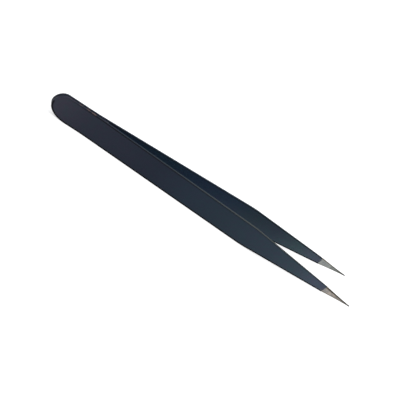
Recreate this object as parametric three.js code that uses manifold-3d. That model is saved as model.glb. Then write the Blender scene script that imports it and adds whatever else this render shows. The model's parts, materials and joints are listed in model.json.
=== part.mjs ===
// Straight fine-point precision tweezers, coated, with bare ground points. Millimetres, +Z up.
// They stand on the lower edges of both blades: +X runs from the heel to the points, and the arms
// open along Y, the near arm towards -Y and the far arm towards +Y.
// Each arm is one strip of sheet steel. It is divided into the zones that it works in: a tang that is
// welded to the spacer, a spring that bends, a grip for the fingers, a nose and a bare ground point.

import * as THREE from 'three';
import { mergeVertices } from 'three/addons/utils/BufferGeometryUtils.js';
import Module from 'manifold-3d';

const wasm = await Module();
wasm.setup();

// Driving dimensions. Distances along a blade start at the heel end.
const bladeLength = 140.2;
const bladeHalfWidth = 4.72;
const bladeThickness = 0.85;
const heelUpperLength = 3.4;
const heelLowerLength = 9.2;
const heelApexHeight = 0.85;
const edgeRadius = 0.2;
const bendAt = 15.8;
const splayAngle = 0.0575;
const flexureAt = 41.3;
const shoulderAt = 88.2;
const coatingEndsAt = 126.8;
const coatingEndHalfWidth = 1.68;
const needleStartsAt = 137;
const needleHalfWidth = 0.42;
const pointHalfWidth = 0.25;
const pointThickness = 0.3;
const tangGap = 0.2;
const spacerEndsAt = 20;
const spacerSetBack = 0.25;
const spacerClearance = 0.02;
const seam = 0.3;
const arcSteps = 28;
const beyond = 5;

const overallLength = bendAt + (bladeLength - bendAt) * Math.cos(splayAngle);

const coating = new THREE.MeshStandardMaterial({ color: 0x2b333d, roughness: 0.5, metalness: 0.0 });
const groundSteel = new THREE.MeshStandardMaterial({ color: 0x9c968f, roughness: 0.4, metalness: 0.9 });

// A closed three.js geometry as a manifold solid, and back again as a geometry.
function toSolid(geometry) {
  const bare = geometry.clone();
  bare.deleteAttribute('normal');
  bare.deleteAttribute('uv');
  const merged = mergeVertices(bare, 1e-5);
  const vertProperties = new Float32Array(merged.attributes.position.array);
  const triVerts = new Uint32Array(merged.index.array);
  return new wasm.Manifold(new wasm.Mesh({ numProp: 3, vertProperties, triVerts }));
}

function toGeometry(solid) {
  const mesh = solid.getMesh();
  const geometry = new THREE.BufferGeometry();
  geometry.setAttribute('position', new THREE.BufferAttribute(mesh.vertProperties, 3));
  geometry.setIndex(new THREE.BufferAttribute(mesh.triVerts, 1));
  geometry.computeVertexNormals();
  return geometry;
}

// The blade seen from the side: a hand-ground round heel, straight edges to the shoulder, then the taper.
// The heel is two quarter ellipses that meet at its apex, the longer one along the lower edge.
function bladeOutline(inset) {
  const half = bladeHalfWidth - inset;
  const outline = new THREE.Shape();
  outline.moveTo(shoulderAt, -half);
  outline.lineTo(coatingEndsAt, -coatingEndHalfWidth);
  outline.lineTo(needleStartsAt, -needleHalfWidth);
  outline.lineTo(bladeLength, -pointHalfWidth);
  outline.lineTo(bladeLength, pointHalfWidth);
  outline.lineTo(needleStartsAt, needleHalfWidth);
  outline.lineTo(coatingEndsAt, coatingEndHalfWidth);
  outline.lineTo(shoulderAt, half);
  for (let step = 0; step <= arcSteps; step += 1) {
    const angle = Math.PI * (0.5 + step / arcSteps);
    const upper = step * 2 < arcSteps;
    const length = upper ? heelUpperLength : heelLowerLength;
    const height = upper ? half - heelApexHeight : half + heelApexHeight;
    outline.lineTo(length + (length - inset) * Math.cos(angle), heelApexHeight + height * Math.sin(angle));
  }
  return outline;
}

// A flat, straight blade with rounded edges, from y = 0 to its thickness on the given side.
function flatBlade(side) {
  const geometry = new THREE.ExtrudeGeometry(bladeOutline(0), {
    depth: bladeThickness - 2 * edgeRadius,
    bevelEnabled: true,
    bevelThickness: edgeRadius,
    bevelSize: edgeRadius,
    bevelOffset: -edgeRadius,
    bevelSegments: 2,
  });
  geometry.rotateX(Math.PI / 2);
  geometry.translate(0, (side * bladeThickness) / 2 + bladeThickness / 2 - edgeRadius, 0);
  return toSolid(geometry);
}

// The metal ground away from the outside of the nose, so that it thins towards the point.
function noseGrinding(side) {
  const plan = new THREE.Shape();
  plan.moveTo(shoulderAt, side * bladeThickness);
  plan.lineTo(bladeLength + beyond, side * bladeThickness * 2);
  plan.lineTo(bladeLength + beyond, side * outerFaceAt(bladeLength + beyond));
  plan.closePath();
  const geometry = new THREE.ExtrudeGeometry(plan, { depth: 4 * bladeHalfWidth, bevelEnabled: false });
  geometry.translate(0, 0, -2 * bladeHalfWidth);
  return toSolid(geometry);
}

function outerFaceAt(distance) {
  const slope = (bladeThickness - pointThickness) / (bladeLength - shoulderAt);
  return bladeThickness - slope * (distance - shoulderAt);
}

// A block across the blade that keeps only the zone between two distances.
function zoneBlock(from, to) {
  const block = new THREE.BoxGeometry(to - from, 4 * bladeThickness, 4 * bladeHalfWidth);
  block.translate((from + to) / 2, 0, 0);
  return toSolid(block);
}

// The zones of one arm, each cut from the same blade. The bent zones turn with the arm's own group.
function addArm(parent, name, side) {
  const blade = flatBlade(side).subtract(noseGrinding(side));
  const gap = seam / 2;
  const zones = [
    ['tang', -beyond, bendAt, coating],
    ['spring', bendAt, flexureAt, coating],
    ['grip', flexureAt, shoulderAt, coating],
    ['nose', shoulderAt, coatingEndsAt, coating],
    ['point', coatingEndsAt, bladeLength + beyond, groundSteel],
  ];

  const tangSide = new THREE.Group();
  tangSide.position.y = (side * tangGap) / 2;
  const bentArm = new THREE.Group();
  bentArm.position.x = bendAt;
  bentArm.rotation.z = side * splayAngle;
  tangSide.add(bentArm);
  parent.add(tangSide);

  for (const [zone, from, to, material] of zones) {
    const solid = blade.intersect(zoneBlock(from + gap, to - gap));
    const mesh = new THREE.Mesh(toGeometry(solid), material);
    mesh.name = `${name}_${zone}`;
    if (zone === 'tang') {
      tangSide.add(mesh);
    } else {
      mesh.position.x = -bendAt;
      bentArm.add(mesh);
    }
  }
}

// The thin spacer between the tangs, which widens to a wedge where the arms part.
function addSpacer(parent) {
  const half = tangGap / 2 - spacerClearance;
  const wedgeHalf = half + (spacerEndsAt - bendAt) * Math.tan(splayAngle);
  const plan = new THREE.Shape();
  plan.moveTo(-beyond, -half);
  plan.lineTo(bendAt, -half);
  plan.lineTo(spacerEndsAt, -wedgeHalf);
  plan.lineTo(spacerEndsAt, wedgeHalf);
  plan.lineTo(bendAt, half);
  plan.lineTo(-beyond, half);
  plan.closePath();
  const planBar = new THREE.ExtrudeGeometry(plan, { depth: 4 * bladeHalfWidth, bevelEnabled: false });
  planBar.translate(0, 0, -2 * bladeHalfWidth);

  const sideSlab = new THREE.ExtrudeGeometry(bladeOutline(spacerSetBack), {
    depth: 4 * bladeThickness,
    bevelEnabled: false,
  });
  sideSlab.rotateX(Math.PI / 2);
  sideSlab.translate(0, 2 * bladeThickness, 0);

  const mesh = new THREE.Mesh(toGeometry(toSolid(planBar).intersect(toSolid(sideSlab))), coating);
  mesh.name = 'heel_spacer';
  parent.add(mesh);
}

const group = new THREE.Group();
const tweezers = new THREE.Group();
tweezers.position.set(-overallLength / 2, 0, bladeHalfWidth);
group.add(tweezers);

addArm(tweezers, 'near', -1);
addArm(tweezers, 'far', 1);
addSpacer(tweezers);

export default group;
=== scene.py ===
import json
import math

import bpy
from mathutils import Matrix, Vector, noise


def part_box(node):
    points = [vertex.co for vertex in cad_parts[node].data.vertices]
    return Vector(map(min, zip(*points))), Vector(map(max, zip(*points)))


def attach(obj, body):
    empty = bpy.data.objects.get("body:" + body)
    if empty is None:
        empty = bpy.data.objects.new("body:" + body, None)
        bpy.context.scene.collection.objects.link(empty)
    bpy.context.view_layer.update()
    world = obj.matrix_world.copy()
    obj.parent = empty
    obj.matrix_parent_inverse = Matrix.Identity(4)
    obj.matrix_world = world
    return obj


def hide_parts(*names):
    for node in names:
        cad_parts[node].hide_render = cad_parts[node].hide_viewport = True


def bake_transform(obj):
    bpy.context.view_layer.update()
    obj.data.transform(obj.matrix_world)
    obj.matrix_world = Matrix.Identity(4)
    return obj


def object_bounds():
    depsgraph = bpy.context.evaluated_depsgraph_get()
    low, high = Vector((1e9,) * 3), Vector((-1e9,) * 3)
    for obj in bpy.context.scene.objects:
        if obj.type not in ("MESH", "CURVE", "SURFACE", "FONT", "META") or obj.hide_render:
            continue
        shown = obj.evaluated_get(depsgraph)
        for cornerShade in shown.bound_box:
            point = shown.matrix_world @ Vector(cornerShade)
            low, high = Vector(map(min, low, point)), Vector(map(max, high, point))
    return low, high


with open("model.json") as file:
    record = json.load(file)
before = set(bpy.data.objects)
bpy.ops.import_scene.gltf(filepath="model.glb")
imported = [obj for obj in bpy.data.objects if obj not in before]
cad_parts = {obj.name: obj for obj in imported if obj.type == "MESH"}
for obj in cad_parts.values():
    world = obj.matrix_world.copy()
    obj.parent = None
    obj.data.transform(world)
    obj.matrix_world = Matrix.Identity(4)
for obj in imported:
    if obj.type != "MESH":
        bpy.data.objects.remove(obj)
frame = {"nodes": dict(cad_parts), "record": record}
cadLow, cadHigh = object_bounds()
print("frame loaded: blades", round((cadHigh.x - cadLow.x) * 1000, 1), "mm long")

mm = 0.001


def between(nodeA, nodeB):
    # the seam between two neighbouring zones of the near arm, along x
    return (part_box(nodeA)[1].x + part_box(nodeB)[0].x) / 2


# The blade's layout, all from the CAD. Distances along a blade start at the heel end.
mountAxis = {m["name"]: Vector(m["axis"]) for m in frame["record"]["mounts"]}
nearNormal = mountAxis["near_outer_face_rest"]
tangLow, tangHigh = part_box("near_tang")
pointLow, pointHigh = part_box("near_point")
blade = {
    "splay": math.atan2(-nearNormal.x, -nearNormal.y),
    "halfWidth": (cadHigh.z - cadLow.z) / 2,
    "middleZ": (cadHigh.z + cadLow.z) / 2,
    "thickness": tangHigh.y - tangLow.y,
    "innerY": -tangHigh.y,
    "bendX": between("near_tang", "near_spring"),
    "endHalfWidth": (pointHigh.z - pointLow.z) / 2,
}


def alongBlade(x):
    return blade["bendX"] - cadLow.x + (x - blade["bendX"]) / math.cos(blade["splay"])


blade["bendAt"] = blade["bendX"] - cadLow.x
blade["shoulderAt"] = alongBlade(between("near_grip", "near_nose"))
blade["coatingEndsAt"] = alongBlade(between("near_nose", "near_point"))
blade["length"] = alongBlade(cadHigh.x)

# The heel is ground round as two quarter ellipses, the longer one along the lower edge.
heel = {"upperLength": 3.4 * mm, "lowerLength": 9.2 * mm, "apexHeight": 0.85 * mm}

# The camera stands in front of the near arm, above it, rolled so that the blades run down to the right.
cameraView = {
    "azimuth": 36.75,
    "elevation": 29.9,
    "roll": 53.3,
    "distance": 0.497,
    "lens": 131.1,
    "clip": (0.02, 20),
    "aim": Vector((-2.8, 0.72, 2.64)) * mm,
}


def addCamera(view):
    azimuth, elevation = math.radians(view["azimuth"]), math.radians(view["elevation"])
    level = math.cos(elevation)
    forward = Vector((math.sin(azimuth) * level, math.cos(azimuth) * level, -math.sin(elevation)))
    right = forward.cross(Vector((0, 0, 1))).normalized()
    right = Matrix.Rotation(-math.radians(view["roll"]), 3, forward) @ right
    up = right.cross(forward)
    data = bpy.data.cameras.new("camera")
    data.lens = view["lens"]
    data.clip_start, data.clip_end = view["clip"]
    camera = bpy.data.objects.new("camera", data)
    place = view["aim"] - forward * view["distance"]
    camera.matrix_world = Matrix.Translation(place) @ Matrix((right, up, -forward)).transposed().to_4x4()
    bpy.context.scene.collection.objects.link(camera)
    bpy.context.scene.camera = camera


addCamera(cameraView)
print("camera placed")


# The bend at the end of the tang is a short curve, as a press leaves it.
pressedBend = {"length": 5 * mm}


def bladePlace(side, along, out, z):
    # a point of a blade: distance from the heel, depth out from its inner face, height from its middle line
    start = blade["bendAt"] - pressedBend["length"] / 2
    turned = min(max((along - start) / pressedBend["length"], 0), 1)
    angle = blade["splay"] * turned
    if turned == 0:
        x, y = along, 0.0
    elif turned == 1:
        beyond = along - blade["bendAt"]
        x = blade["bendAt"] + beyond * math.cos(angle)
        y = beyond * math.sin(angle)
    else:
        radius = pressedBend["length"] / blade["splay"]
        x = start + radius * math.sin(angle)
        y = radius * (1 - math.cos(angle))
    x -= out * math.sin(angle)
    y += out * math.cos(angle) + blade["innerY"]
    return Vector((cadLow.x + x, side * y, blade["middleZ"] + z))


def meshObject(name, vertices, faces, material):
    mesh = bpy.data.meshes.new(name)
    mesh.from_pydata(vertices, [], faces)
    mesh.validate()
    mesh.update()
    for polygon in mesh.polygons:
        polygon.use_smooth = True
    mesh.materials.append(material)
    piece = bpy.data.objects.new(name, mesh)
    bpy.context.scene.collection.objects.link(piece)
    return piece


def paint(piece, domain, weights):
    # weights that the material reads, one value for each point or face
    for name, values in weights.items():
        attribute = piece.data.attributes.new(name, "FLOAT", domain)
        attribute.data.foreach_set("value", values)


def toLinear(hexColour):
    # sRGB hex to linear RGBA
    parts = [int(hexColour[i : i + 2], 16) / 255 for i in (1, 3, 5)]
    return tuple(c / 12.92 if c <= 0.04045 else ((c + 0.055) / 1.055) ** 2.4 for c in parts) + (1.0,)


def addNode(tree, kind, inputs=None, **settings):
    node = tree.nodes.new(kind)
    for name, value in settings.items():
        setattr(node, name, value)
    for socket, value in (inputs or {}).items():
        if isinstance(value, bpy.types.NodeSocket):
            tree.links.new(value, node.inputs[socket])
        else:
            node.inputs[socket].default_value = value
    return node


def newMaterial(name):
    material = bpy.data.materials.new(name)
    material.use_nodes = True
    tree = material.node_tree
    tree.nodes.clear()
    output = addNode(tree, "ShaderNodeOutputMaterial")
    return material, tree, output


# Epoxy, electrostatically sprayed as powder and baked: a satin blue-black skin with a faint orange
# peel and a slight drift of hue. Painted shade lies along its corners as a dark, matt band, and its upper
# edges are paler, partly rubbed and partly a painted highlight, with brown specks where it is worn through
# to the primer.
epoxy = {
    # colour by distance from the heel in mm, partly handling wear and partly painted light and shade: the
    # middle is the darkest, the ends are painted lighter, and the inner faces are painted lighter in the
    # gap between the arms
    "zones": {
        "inside": {0: "#2c2d37", 14: "#1e222e", 31: "#192533", 47: "#182835", 63: "#19283a",
                   79: "#1c2c3c", 91: "#1d2d36", 102: "#1f2c38", 114: "#293b40", 122: "#353f4a"},
        "outside": {0: "#2c2d37", 14: "#1e222e", 44: "#131b29", 60: "#162330",
                    75: "#182631", 100: "#222f3a", 112: "#2a3841", 122: "#3a424f"},
    },
    "burnished": "#f3f1f1",  # what fingers take from the colour on the outer faces
    "tealCast": "#e4ffff",
    "violetCast": "#ffeeff",
    "castShare": 0.8,
    # painted shade: a dark band along the rounded corners of the coat
    "cornerShade": "#07090d",
    # paler upper edges: partly rubbed, partly a painted highlight from the light above
    "edge": "#3c403f",
    "worn": "#5c4a46",
    "wornShare": 0.8,
    "roughness": 0.46,
    "roughnessSpread": 0.04,
    "cornerRoughness": 0.9,
    "specular": 0.1,
    "peelHeightMm": 0.01,
    "peelStrength": 0.6,
    "patternRoughness": 0.6,
    "patterns": {
        "cast": {"sizeMm": 1.4, "detail": 2.0, "from": 0.38, "to": 0.62},
        "wear": {"sizeMm": 1.6, "detail": 3.0, "from": 0.52, "to": 0.66},
        # real orange peel is nearer 0.3 mm, drawn coarser so that it shows
        "peel": {"sizeMm": 0.55, "detail": 2.0, "from": 0.3, "to": 0.7},
    },
}


def epoxyCoating():
    material, tree, output = newMaterial("epoxyPowderCoat")
    where = addNode(tree, "ShaderNodeTexCoord").outputs["Object"]
    painted = {}
    for name in ("along", "outside", "cornerShade", "edge", "worn"):
        painted[name] = addNode(tree, "ShaderNodeAttribute", attribute_name=name).outputs["Fac"]
    cast, wear, peel = (epoxy["patterns"][name] for name in ("cast", "wear", "peel"))
    grain = {}
    for name, pattern in epoxy["patterns"].items():
        grain[name] = addNode(tree, "ShaderNodeTexNoise", {
            "Vector": where, "Scale": 1 / (pattern["sizeMm"] * mm), "Detail": pattern["detail"],
            "Roughness": epoxy["patternRoughness"]}).outputs["Fac"]

    # ramps of colour along the blade, carrying painted light and shade as well as handling wear
    zones = {}
    for face, colours in epoxy["zones"].items():
        zones[face] = addNode(tree, "ShaderNodeValToRGB", {"Fac": painted["along"]})
        elements = zones[face].color_ramp.elements
        elements.remove(elements[1])
        for distance, colour in colours.items():
            element = elements.new(distance * mm / blade["coatingEndsAt"]) if distance else elements[0]
            element.color = toLinear(colour)
    drift = addNode(tree, "ShaderNodeMapRange", {
        "Value": grain["cast"], "From Min": cast["from"], "From Max": cast["to"]})
    hue = addNode(tree, "ShaderNodeMix", {
        "Factor": drift.outputs[0], "A": toLinear(epoxy["tealCast"]), "B": toLinear(epoxy["violetCast"])},
        data_type="RGBA")
    specks = addNode(tree, "ShaderNodeMapRange", {
        "Value": grain["wear"], "From Min": wear["from"], "From Max": wear["to"],
        "To Max": epoxy["wornShare"]})
    worn = addNode(tree, "ShaderNodeMath", {0: specks.outputs[0], 1: painted["worn"]}, operation="MULTIPLY")

    # each layer of colour lies over the ones before it
    layers = [
        (painted["outside"], zones["outside"].outputs["Color"], "MIX"),
        (painted["outside"], toLinear(epoxy["burnished"]), "MULTIPLY"),
        (epoxy["castShare"], hue.outputs["Result"], "MULTIPLY"),
        # painted highlight along the upper edges, partly rubbing
        (painted["edge"], toLinear(epoxy["edge"]), "MIX"),
        # painted shade along the corners
        (painted["cornerShade"], toLinear(epoxy["cornerShade"]), "MIX"),
        (worn.outputs[0], toLinear(epoxy["worn"]), "MIX"),
    ]
    colour = zones["inside"].outputs["Color"]
    for share, over, blend in layers:
        colour = addNode(tree, "ShaderNodeMix", {"Factor": share, "A": colour, "B": over},
                         data_type="RGBA", blend_type=blend).outputs["Result"]

    faceRough = addNode(tree, "ShaderNodeMapRange", {
        "Value": grain["peel"], "From Min": peel["from"], "From Max": peel["to"],
        "To Min": epoxy["roughness"] - epoxy["roughnessSpread"],
        "To Max": epoxy["roughness"] + epoxy["roughnessSpread"]})
    rough = addNode(tree, "ShaderNodeMix", {
        "Factor": painted["cornerShade"], "A": faceRough.outputs[0], "B": epoxy["cornerRoughness"]},
        data_type="FLOAT")
    bump = addNode(tree, "ShaderNodeBump", {
        "Height": grain["peel"], "Strength": epoxy["peelStrength"], "Distance": epoxy["peelHeightMm"] * mm})
    shader = addNode(tree, "ShaderNodeBsdfPrincipled", {
        "Base Color": colour, "Roughness": rough.outputs["Result"],
        "Specular IOR Level": epoxy["specular"], "Normal": bump.outputs["Normal"]})
    tree.links.new(shader.outputs[0], output.inputs[0])
    return material


# Stainless steel, ground on a fine wheel and left bare: warm grey with fine grinding lines across it.
# The bevels and the needle are painted darker and browner as a painted dark reflection, and the inner flat
# darker and cooler as a painted reflection of the shaded gap between the arms.
steel = {
    "face": "#988f86",
    # painted reflection: the inner flat darker and cooler, as if reflecting the shaded gap between the arms
    "inside": "#868a86",
    # painted dark reflection on the bevels
    "bevelReflection": "#625c52",
    # painted dark reflection, deepening towards the needle
    "needleReflection": "#2e2b25",
    "cloud": "#6c6f72",
    "cloudShare": 0.6,
    "smoothest": 0.26,
    "roughest": 0.40,
    "lineHeightMm": 0.003,
    "lineStrength": 0.5,
    "patterns": {
        # real grinding lines are nearer 0.02 mm apart, drawn coarser so that they show
        "line": {"sizeMm": 0.12, "from": 0.3, "to": 0.7},
        "cloud": {"sizeMm": 1.2, "from": 0.42, "to": 0.6},
    },
    "patternDetail": 2.0,
    "lineSquash": 0.12,
}


def groundSteel():
    material, tree, output = newMaterial("groundStainlessSteel")
    where = addNode(tree, "ShaderNodeTexCoord").outputs["Object"]
    line, cloud = steel["patterns"]["line"], steel["patterns"]["cloud"]
    acrossPoint = addNode(tree, "ShaderNodeMapping", {
        "Vector": where, "Scale": (1.0, steel["lineSquash"], steel["lineSquash"])})
    grain = {}
    for name, vector in (("line", acrossPoint.outputs[0]), ("cloud", where)):
        grain[name] = addNode(tree, "ShaderNodeTexNoise", {
            "Vector": vector, "Scale": 1 / (steel["patterns"][name]["sizeMm"] * mm),
            "Detail": steel["patternDetail"]}).outputs["Fac"]
    cloudMask = addNode(tree, "ShaderNodeMapRange", {
        "Value": grain["cloud"], "From Min": cloud["from"], "From Max": cloud["to"],
        "To Max": steel["cloudShare"]})

    # the clouds lie on the flats, under the painted dark reflections on the bevels and the needle
    shares = {"cloud": cloudMask.outputs[0]}
    for name in ("inside", "bevelReflection", "needleReflection"):
        shares[name] = addNode(tree, "ShaderNodeAttribute", attribute_name=name).outputs["Fac"]
    colour = toLinear(steel["face"])
    for name in ("inside", "cloud", "bevelReflection", "needleReflection"):
        colour = addNode(tree, "ShaderNodeMix", {
            "Factor": shares[name], "A": colour, "B": toLinear(steel[name])},
            data_type="RGBA").outputs["Result"]

    rough = addNode(tree, "ShaderNodeMapRange", {
        "Value": grain["line"], "From Min": line["from"], "From Max": line["to"],
        "To Min": steel["smoothest"], "To Max": steel["roughest"]})
    bump = addNode(tree, "ShaderNodeBump", {
        "Height": grain["line"], "Strength": steel["lineStrength"], "Distance": steel["lineHeightMm"] * mm})
    shader = addNode(tree, "ShaderNodeBsdfPrincipled", {
        "Base Color": colour, "Metallic": 1.0, "Roughness": rough.outputs[0],
        "Normal": bump.outputs["Normal"]})
    tree.links.new(shader.outputs[0], output.inputs[0])
    return material


coatingMaterial = epoxyCoating()
steelMaterial = groundSteel()
print("materials made")

# The coated arm: one strip from the round heel to where the coating stops.
coated = {
    "outerRound": 0.2 * mm,
    "outerRoundMost": 0.5,
    "innerRound": 0.15 * mm,
    "innerRoundMost": 0.4,
    "outerCornerShade": 0.9,
    "innerCornerShade": 0.8,
    "outsideFrom": 0.25,
    "hold": {"upper": 0.07 * mm, "lower": 0.36 * mm},
    "cornerShadeFade": {"upper": 0.3 * mm, "lower": 0.2 * mm},
    "wearAndHighlight": {"near": 1.0, "far": 0.15},
    "paleEdgeFrom": 90 * mm,
    "paleEdgeGain": 1.6,
    "paleEdgeCornerShade": 0.5,
    "unshadedHeelLength": 14 * mm,
    "wornAt": 11 * mm,
    "wornReach": 9 * mm,
    "wornGain": 0.5,
    "crown": 0.04 * mm,
    "shoulderRound": 2.0 * mm,
    "endThickness": 0.46 * mm,
    "step": 0.8 * mm,
    "heelSteps": 20,
    "arcSteps": 4,
    "columns": 8,
    "ragged": 0.6 * mm,
    "raggedLength": 1.1 * mm,
    "raggedApart": 5.0,
    "maskAskew": {"near": 0.1 * mm, "far": 0.7 * mm},
    "maskReach": 4 * mm,
}


def softMinimum(a, b, width):
    # the smaller of two values, with the corner between them rounded over a width
    h = max(width - abs(a - b), 0) / width
    return min(a, b) - h * h * width / 4


def noseShare(along):
    return (along - blade["shoulderAt"]) / (blade["coatingEndsAt"] - blade["shoulderAt"])


def noseHalfWidth(along):
    return blade["halfWidth"] + (blade["endHalfWidth"] - blade["halfWidth"]) * noseShare(along)


def armHalfWidth(along):
    slope = (blade["halfWidth"] - blade["endHalfWidth"]) / (blade["coatingEndsAt"] - blade["shoulderAt"])
    return softMinimum(blade["halfWidth"], noseHalfWidth(along), coated["shoulderRound"] * slope)


def armThickness(along):
    return blade["thickness"] + (coated["endThickness"] - blade["thickness"]) * max(noseShare(along), 0)


def edgePoint(station, edge, inset):
    # the outline at a station, on the upper (1) or lower (-1) edge, moved in from it
    length = heel["upperLength"] if edge > 0 else heel["lowerLength"]
    if station <= 0:
        turn = math.pi / 2 * (1 + station)
        height = blade["halfWidth"] - edge * heel["apexHeight"]
        along = length - (length - inset) * math.cos(turn)
        return along, heel["apexHeight"] + edge * (height - inset) * math.sin(turn)
    along = length + (blade["coatingEndsAt"] - length) * station
    return along, edge * (armHalfWidth(along) - inset)


def ringProfile(thickness, edge):
    # (inset from the outline, depth from the inner face, weight of the painted corner shade, weight of the
    # paler edge), inside to outside
    inner = min(coated["innerRound"], thickness * coated["innerRoundMost"])
    outer = min(coated["outerRound"], thickness * coated["outerRoundMost"])
    face = thickness - coated["crown"]
    hold, fade = coated["hold"][edge], coated["cornerShadeFade"][edge]
    rows = [(inner + hold + fade, 0, 0, 0), (inner + hold, 0, coated["innerCornerShade"], 0)]
    for i in range(coated["arcSteps"] + 1):
        a = math.pi / 2 * i / coated["arcSteps"]
        s, c = math.sin(a), math.cos(a)
        rows.append((inner * (1 - s), inner * (1 - c), c, s * s))
    for i in range(coated["arcSteps"] + 1):
        a = math.pi / 2 * i / coated["arcSteps"]
        s, c = math.sin(a), math.cos(a)
        rows.append((outer * (1 - c), face - outer * (1 - s), s, c * c))
    rows += [(outer + hold, face, coated["outerCornerShade"], 0), (outer + hold + fade, face, 0, 0)]
    return rows


def coatedArm(name, side):
    stations = [-1 + i / coated["heelSteps"] for i in range(coated["heelSteps"])]
    straightSteps = int(blade["coatingEndsAt"] / coated["step"])
    stations += [i / straightSteps for i in range(straightSteps + 1)]
    vertices, faces = [], []
    weights = {"along": [], "outside": [], "cornerShade": [], "edge": [], "worn": []}

    def addVertex(along, out, z, cornerShade, edge):
        # the mask left the coating's end slightly ragged and askew
        reach = max(1 - (blade["coatingEndsAt"] - along) / coated["maskReach"], 0)
        seed = Vector((z / coated["raggedLength"], side * coated["raggedApart"], 0))
        askew = coated["maskAskew"][name] * (1 + z / blade["endHalfWidth"]) / 2
        along += reach * (coated["ragged"] * noise.noise(seed) - askew)
        vertices.append(bladePlace(side, along, out, z))
        outside = out > blade["thickness"] * coated["outsideFrom"]
        upper = z > heel["apexHeight"]
        # the upper edge is paler, more and more from the heel to the shoulder, partly rubbed and partly a
        # painted highlight, and the painted corner shade on its outer side is weakened
        paleEdge = min(max(along, 0) / coated["paleEdgeFrom"], 1) ** coated["paleEdgeGain"] if upper else 0
        # and the painted corner shade is taken away towards the heel's upper outer corner, so that no dark
        # line shows there
        heelShadeRemoved = max(1 - along / coated["unshadedHeelLength"], 0) * coated["wearAndHighlight"][name] if upper else 0
        cornerShade *= 1 - max((1 - coated["paleEdgeCornerShade"]) * paleEdge, heelShadeRemoved) * outside
        weights["along"].append(along / blade["coatingEndsAt"])
        weights["outside"].append(float(outside))
        weights["cornerShade"].append(cornerShade)
        weights["edge"].append(edge * paleEdge * coated["wearAndHighlight"][name])
        near = max(1 - abs(along - coated["wornAt"]) / coated["wornReach"], 0) ** coated["wornGain"]
        weights["worn"].append(edge * upper * coated["wearAndHighlight"][name] * near)
        return len(vertices) - 1

    rows = []
    for station in stations:
        apex = station == -1
        thickness = armThickness(edgePoint(station, 1, 0)[0])
        upperRing, lowerRing = ringProfile(thickness, "upper"), ringProfile(thickness, "lower")
        upper, lower = [], []
        for inset, depth, cornerShade, edge in upperRing:
            along, z = edgePoint(station, 1, inset)
            upper.append(addVertex(along, depth, z, cornerShade, edge))
        for inset, depth, cornerShade, edge in lowerRing:
            along, z = edgePoint(station, -1, inset)
            lower.append(upper[len(lower)] if apex else addVertex(along, depth, z, cornerShade, edge))
        caps = []
        for end, crown in ((0, 0), (-1, coated["crown"])):
            depth = upperRing[end][1]
            alongUp, zUp = edgePoint(station, 1, upperRing[end][0])
            alongLow, zLow = edgePoint(station, -1, lowerRing[end][0])
            column = [upper[end]]
            for c in range(1, 1 if apex else coated["columns"]):
                share = c / coated["columns"]
                lift = crown * 4 * share * (1 - share) * min(1, (zUp - zLow) / blade["halfWidth"])
                along = alongUp + (alongLow - alongUp) * share
                column.append(addVertex(along, depth + lift, zUp + (zLow - zUp) * share, 0, 0))
            if not apex:
                column.append(lower[end])
            caps.append(column)
        rows.append((upper, lower, caps))

    for (upperA, lowerA, capsA), (upperB, lowerB, capsB) in zip(rows, rows[1:]):
        for k in range(len(upperA) - 1):
            faces.append((upperA[k], upperB[k], upperB[k + 1], upperA[k + 1]))
            faces.append((lowerA[k + 1], lowerB[k + 1], lowerB[k], lowerA[k]))
        for turn, capA, capB in ((1, capsA[0], capsB[0]), (-1, capsA[1], capsB[1])):
            for c in range(len(capB) - 1):
                if len(capA) == 1:
                    face = (capA[0], capB[c + 1], capB[c])
                else:
                    face = (capA[c], capA[c + 1], capB[c + 1], capB[c])
                faces.append(face[::turn])
    # the end where the coating stops is one face, and the steel point comes out through it
    upper, lower, caps = rows[-1]
    faces.append(tuple(caps[0][1:-1] + lower + caps[1][1:-1][::-1] + upper[::-1]))
    if side < 0:
        faces = [face[::-1] for face in faces]
    piece = meshObject(name + "CoatedArm", vertices, faces, coatingMaterial)
    paint(piece, "POINT", weights)
    return piece


# The bare point: ground flat outside with a bevel along each edge, flat inside, and drawn out to a needle.
point = {
    "insideCoating": 1.5 * mm,
    "coatingDepth": 0.04 * mm,
    "bevelShare": 0.42,
    "landShare": 0.5,
    "lappedShare": 0.75,
    "easing": 0.07 * mm,
    "hollow": 1.25,
    "tipHalfWidth": 0.24 * mm,
    "tipThickness": 0.28 * mm,
    "shortBy": 0.02 * mm,
    "sharpAngle": 18,
    "needleReflectionFrom": 0.35,
    "steps": 40,
}


def pointShape(along):
    share = (along - blade["coatingEndsAt"]) / (blade["length"] - blade["coatingEndsAt"])
    start = blade["endHalfWidth"] - point["coatingDepth"]
    if share < 0:
        return noseHalfWidth(along) - point["coatingDepth"], armThickness(along) - point["coatingDepth"]
    # the sides run in straight at first, then hollow slightly towards the needle
    halfWidth = point["tipHalfWidth"] + (start - point["tipHalfWidth"]) * (1 - share) ** point["hollow"]
    thickness = coated["endThickness"] - point["coatingDepth"]
    thickness += (point["tipThickness"] - thickness) * share
    return halfWidth, thickness


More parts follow.
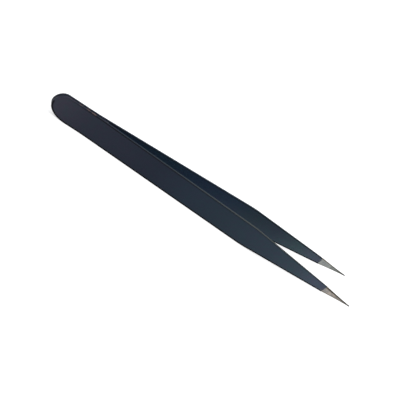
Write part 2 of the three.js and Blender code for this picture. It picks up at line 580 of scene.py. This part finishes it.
def barePoint(name, side):
    first = blade["coatingEndsAt"] - point["insideCoating"]
    vertices, faces, rows = [], [], []
    weights = {"inside": [], "bevelReflection": [], "needleReflection": []}
    for i in range(point["steps"] + 1):
        along = first + (blade["length"] - point["shortBy"] - first) * i / point["steps"]
        halfWidth, thickness = pointShape(along)
        land = thickness * point["landShare"]
        flat = halfWidth * (1 - point["bevelShare"])
        depth = point["coatingDepth"]
        lapped = halfWidth * point["lappedShare"]
        eased = depth + point["easing"]
        section = [(depth, -lapped), (eased, -halfWidth), (land, -halfWidth), (thickness, -flat),
                   (thickness, flat), (land, halfWidth), (eased, halfWidth), (depth, lapped)]
        row = []
        for out, z in section:
            vertices.append(bladePlace(side, along, out, z))
            row.append(len(vertices) - 1)
        rows.append(row)
    for i, (rowA, rowB) in enumerate(zip(rows, rows[1:])):
        for k in range(len(rowA)):
            n = (k + 1) % len(rowA)
            faces.append((rowA[k], rowB[k], rowB[n], rowA[n]))
            # painted reflections: darker and cooler on the inner flat, darker on the bevels and towards the
            # needle
            weights["inside"].append(1.0 if k in (0, 6, 7) else 0.0)
            weights["bevelReflection"].append(0.0 if k in (3, 7) else 1.0)
            drawn = i / point["steps"] - point["needleReflectionFrom"]
            weights["needleReflection"].append(max(0, drawn / (1 - point["needleReflectionFrom"])))
    for row, share in ((rows[0], 0.0), (rows[-1][::-1], 1.0)):
        faces.append(tuple(row))
        for values in weights.values():
            values.append(share)
    if side > 0:
        faces = [face[::-1] for face in faces]
    piece = meshObject(name, vertices, faces, steelMaterial)
    piece.data.set_sharp_from_angle(angle=math.radians(point["sharpAngle"]))
    paint(piece, "FACE", weights)
    return piece


for name, side in (("near", -1), ("far", 1)):
    arm = coatedArm(name, side)
    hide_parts(name + "_tang", name + "_spring", name + "_grip", name + "_nose")
    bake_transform(arm)
    tip = barePoint(name + "BarePoint", side)
    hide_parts(name + "_point")
    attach(tip, name + "_arm")
spacer = frame["nodes"]["heel_spacer"]
spacer.data.materials.clear()
spacer.data.materials.append(coatingMaterial)
print("arms and points made")

# The studio: a table of white acrylic lit from below, a broad light above, a soft light from the front
# and a dim room. The table's own light washes the shadows out.
studio = {
    "table": "#b0b0b0",
    "tableRoughness": 0.9,
    "tableSpecular": 0.1,
    "tableGlow": 0.6,
    "glowColour": "#ffffff",
    "tableSize": 3.0,
    "room": "#dfe3e8",
    "roomStrength": 0.4,
    "lights": {
        "overhead": {"from": (0.15, -0.1, 1.0), "strength": 2.8, "softness": 80},
        "front": {"from": (-0.5, -0.65, 0.75), "strength": 1.7, "softness": 30},
    },
}


def addStudio():
    material, tree, output = newMaterial("backlitAcrylic")
    shader = addNode(tree, "ShaderNodeBsdfPrincipled", {
        "Base Color": toLinear(studio["table"]), "Roughness": studio["tableRoughness"],
        "Specular IOR Level": studio["tableSpecular"],
        "Emission Color": toLinear(studio["glowColour"]), "Emission Strength": studio["tableGlow"]})
    tree.links.new(shader.outputs[0], output.inputs[0])
    size = studio["tableSize"]
    corners = [(-size, -size), (size, -size), (size, size), (-size, size)]
    mesh = bpy.data.meshes.new("table")
    mesh.from_pydata([(x, y, cadLow.z) for x, y in corners], [], [(0, 1, 2, 3)])
    mesh.materials.append(material)
    table = bpy.data.objects.new("table", mesh)
    bpy.context.scene.collection.objects.link(table)

    world = bpy.data.worlds.new("room")
    bpy.context.scene.world = world
    world.use_nodes = True
    background = world.node_tree.nodes["Background"]
    background.inputs["Color"].default_value = toLinear(studio["room"])
    background.inputs["Strength"].default_value = studio["roomStrength"]

    for name, setting in studio["lights"].items():
        data = bpy.data.lights.new(name, "SUN")
        data.energy = setting["strength"]
        data.angle = math.radians(setting["softness"])
        light = bpy.data.objects.new(name, data)
        light.rotation_euler = Vector(setting["from"]).to_track_quat("Z", "Y").to_euler()
        bpy.context.scene.collection.objects.link(light)


addStudio()
bpy.context.scene.view_settings.view_transform = "Standard"
print("studio lit")
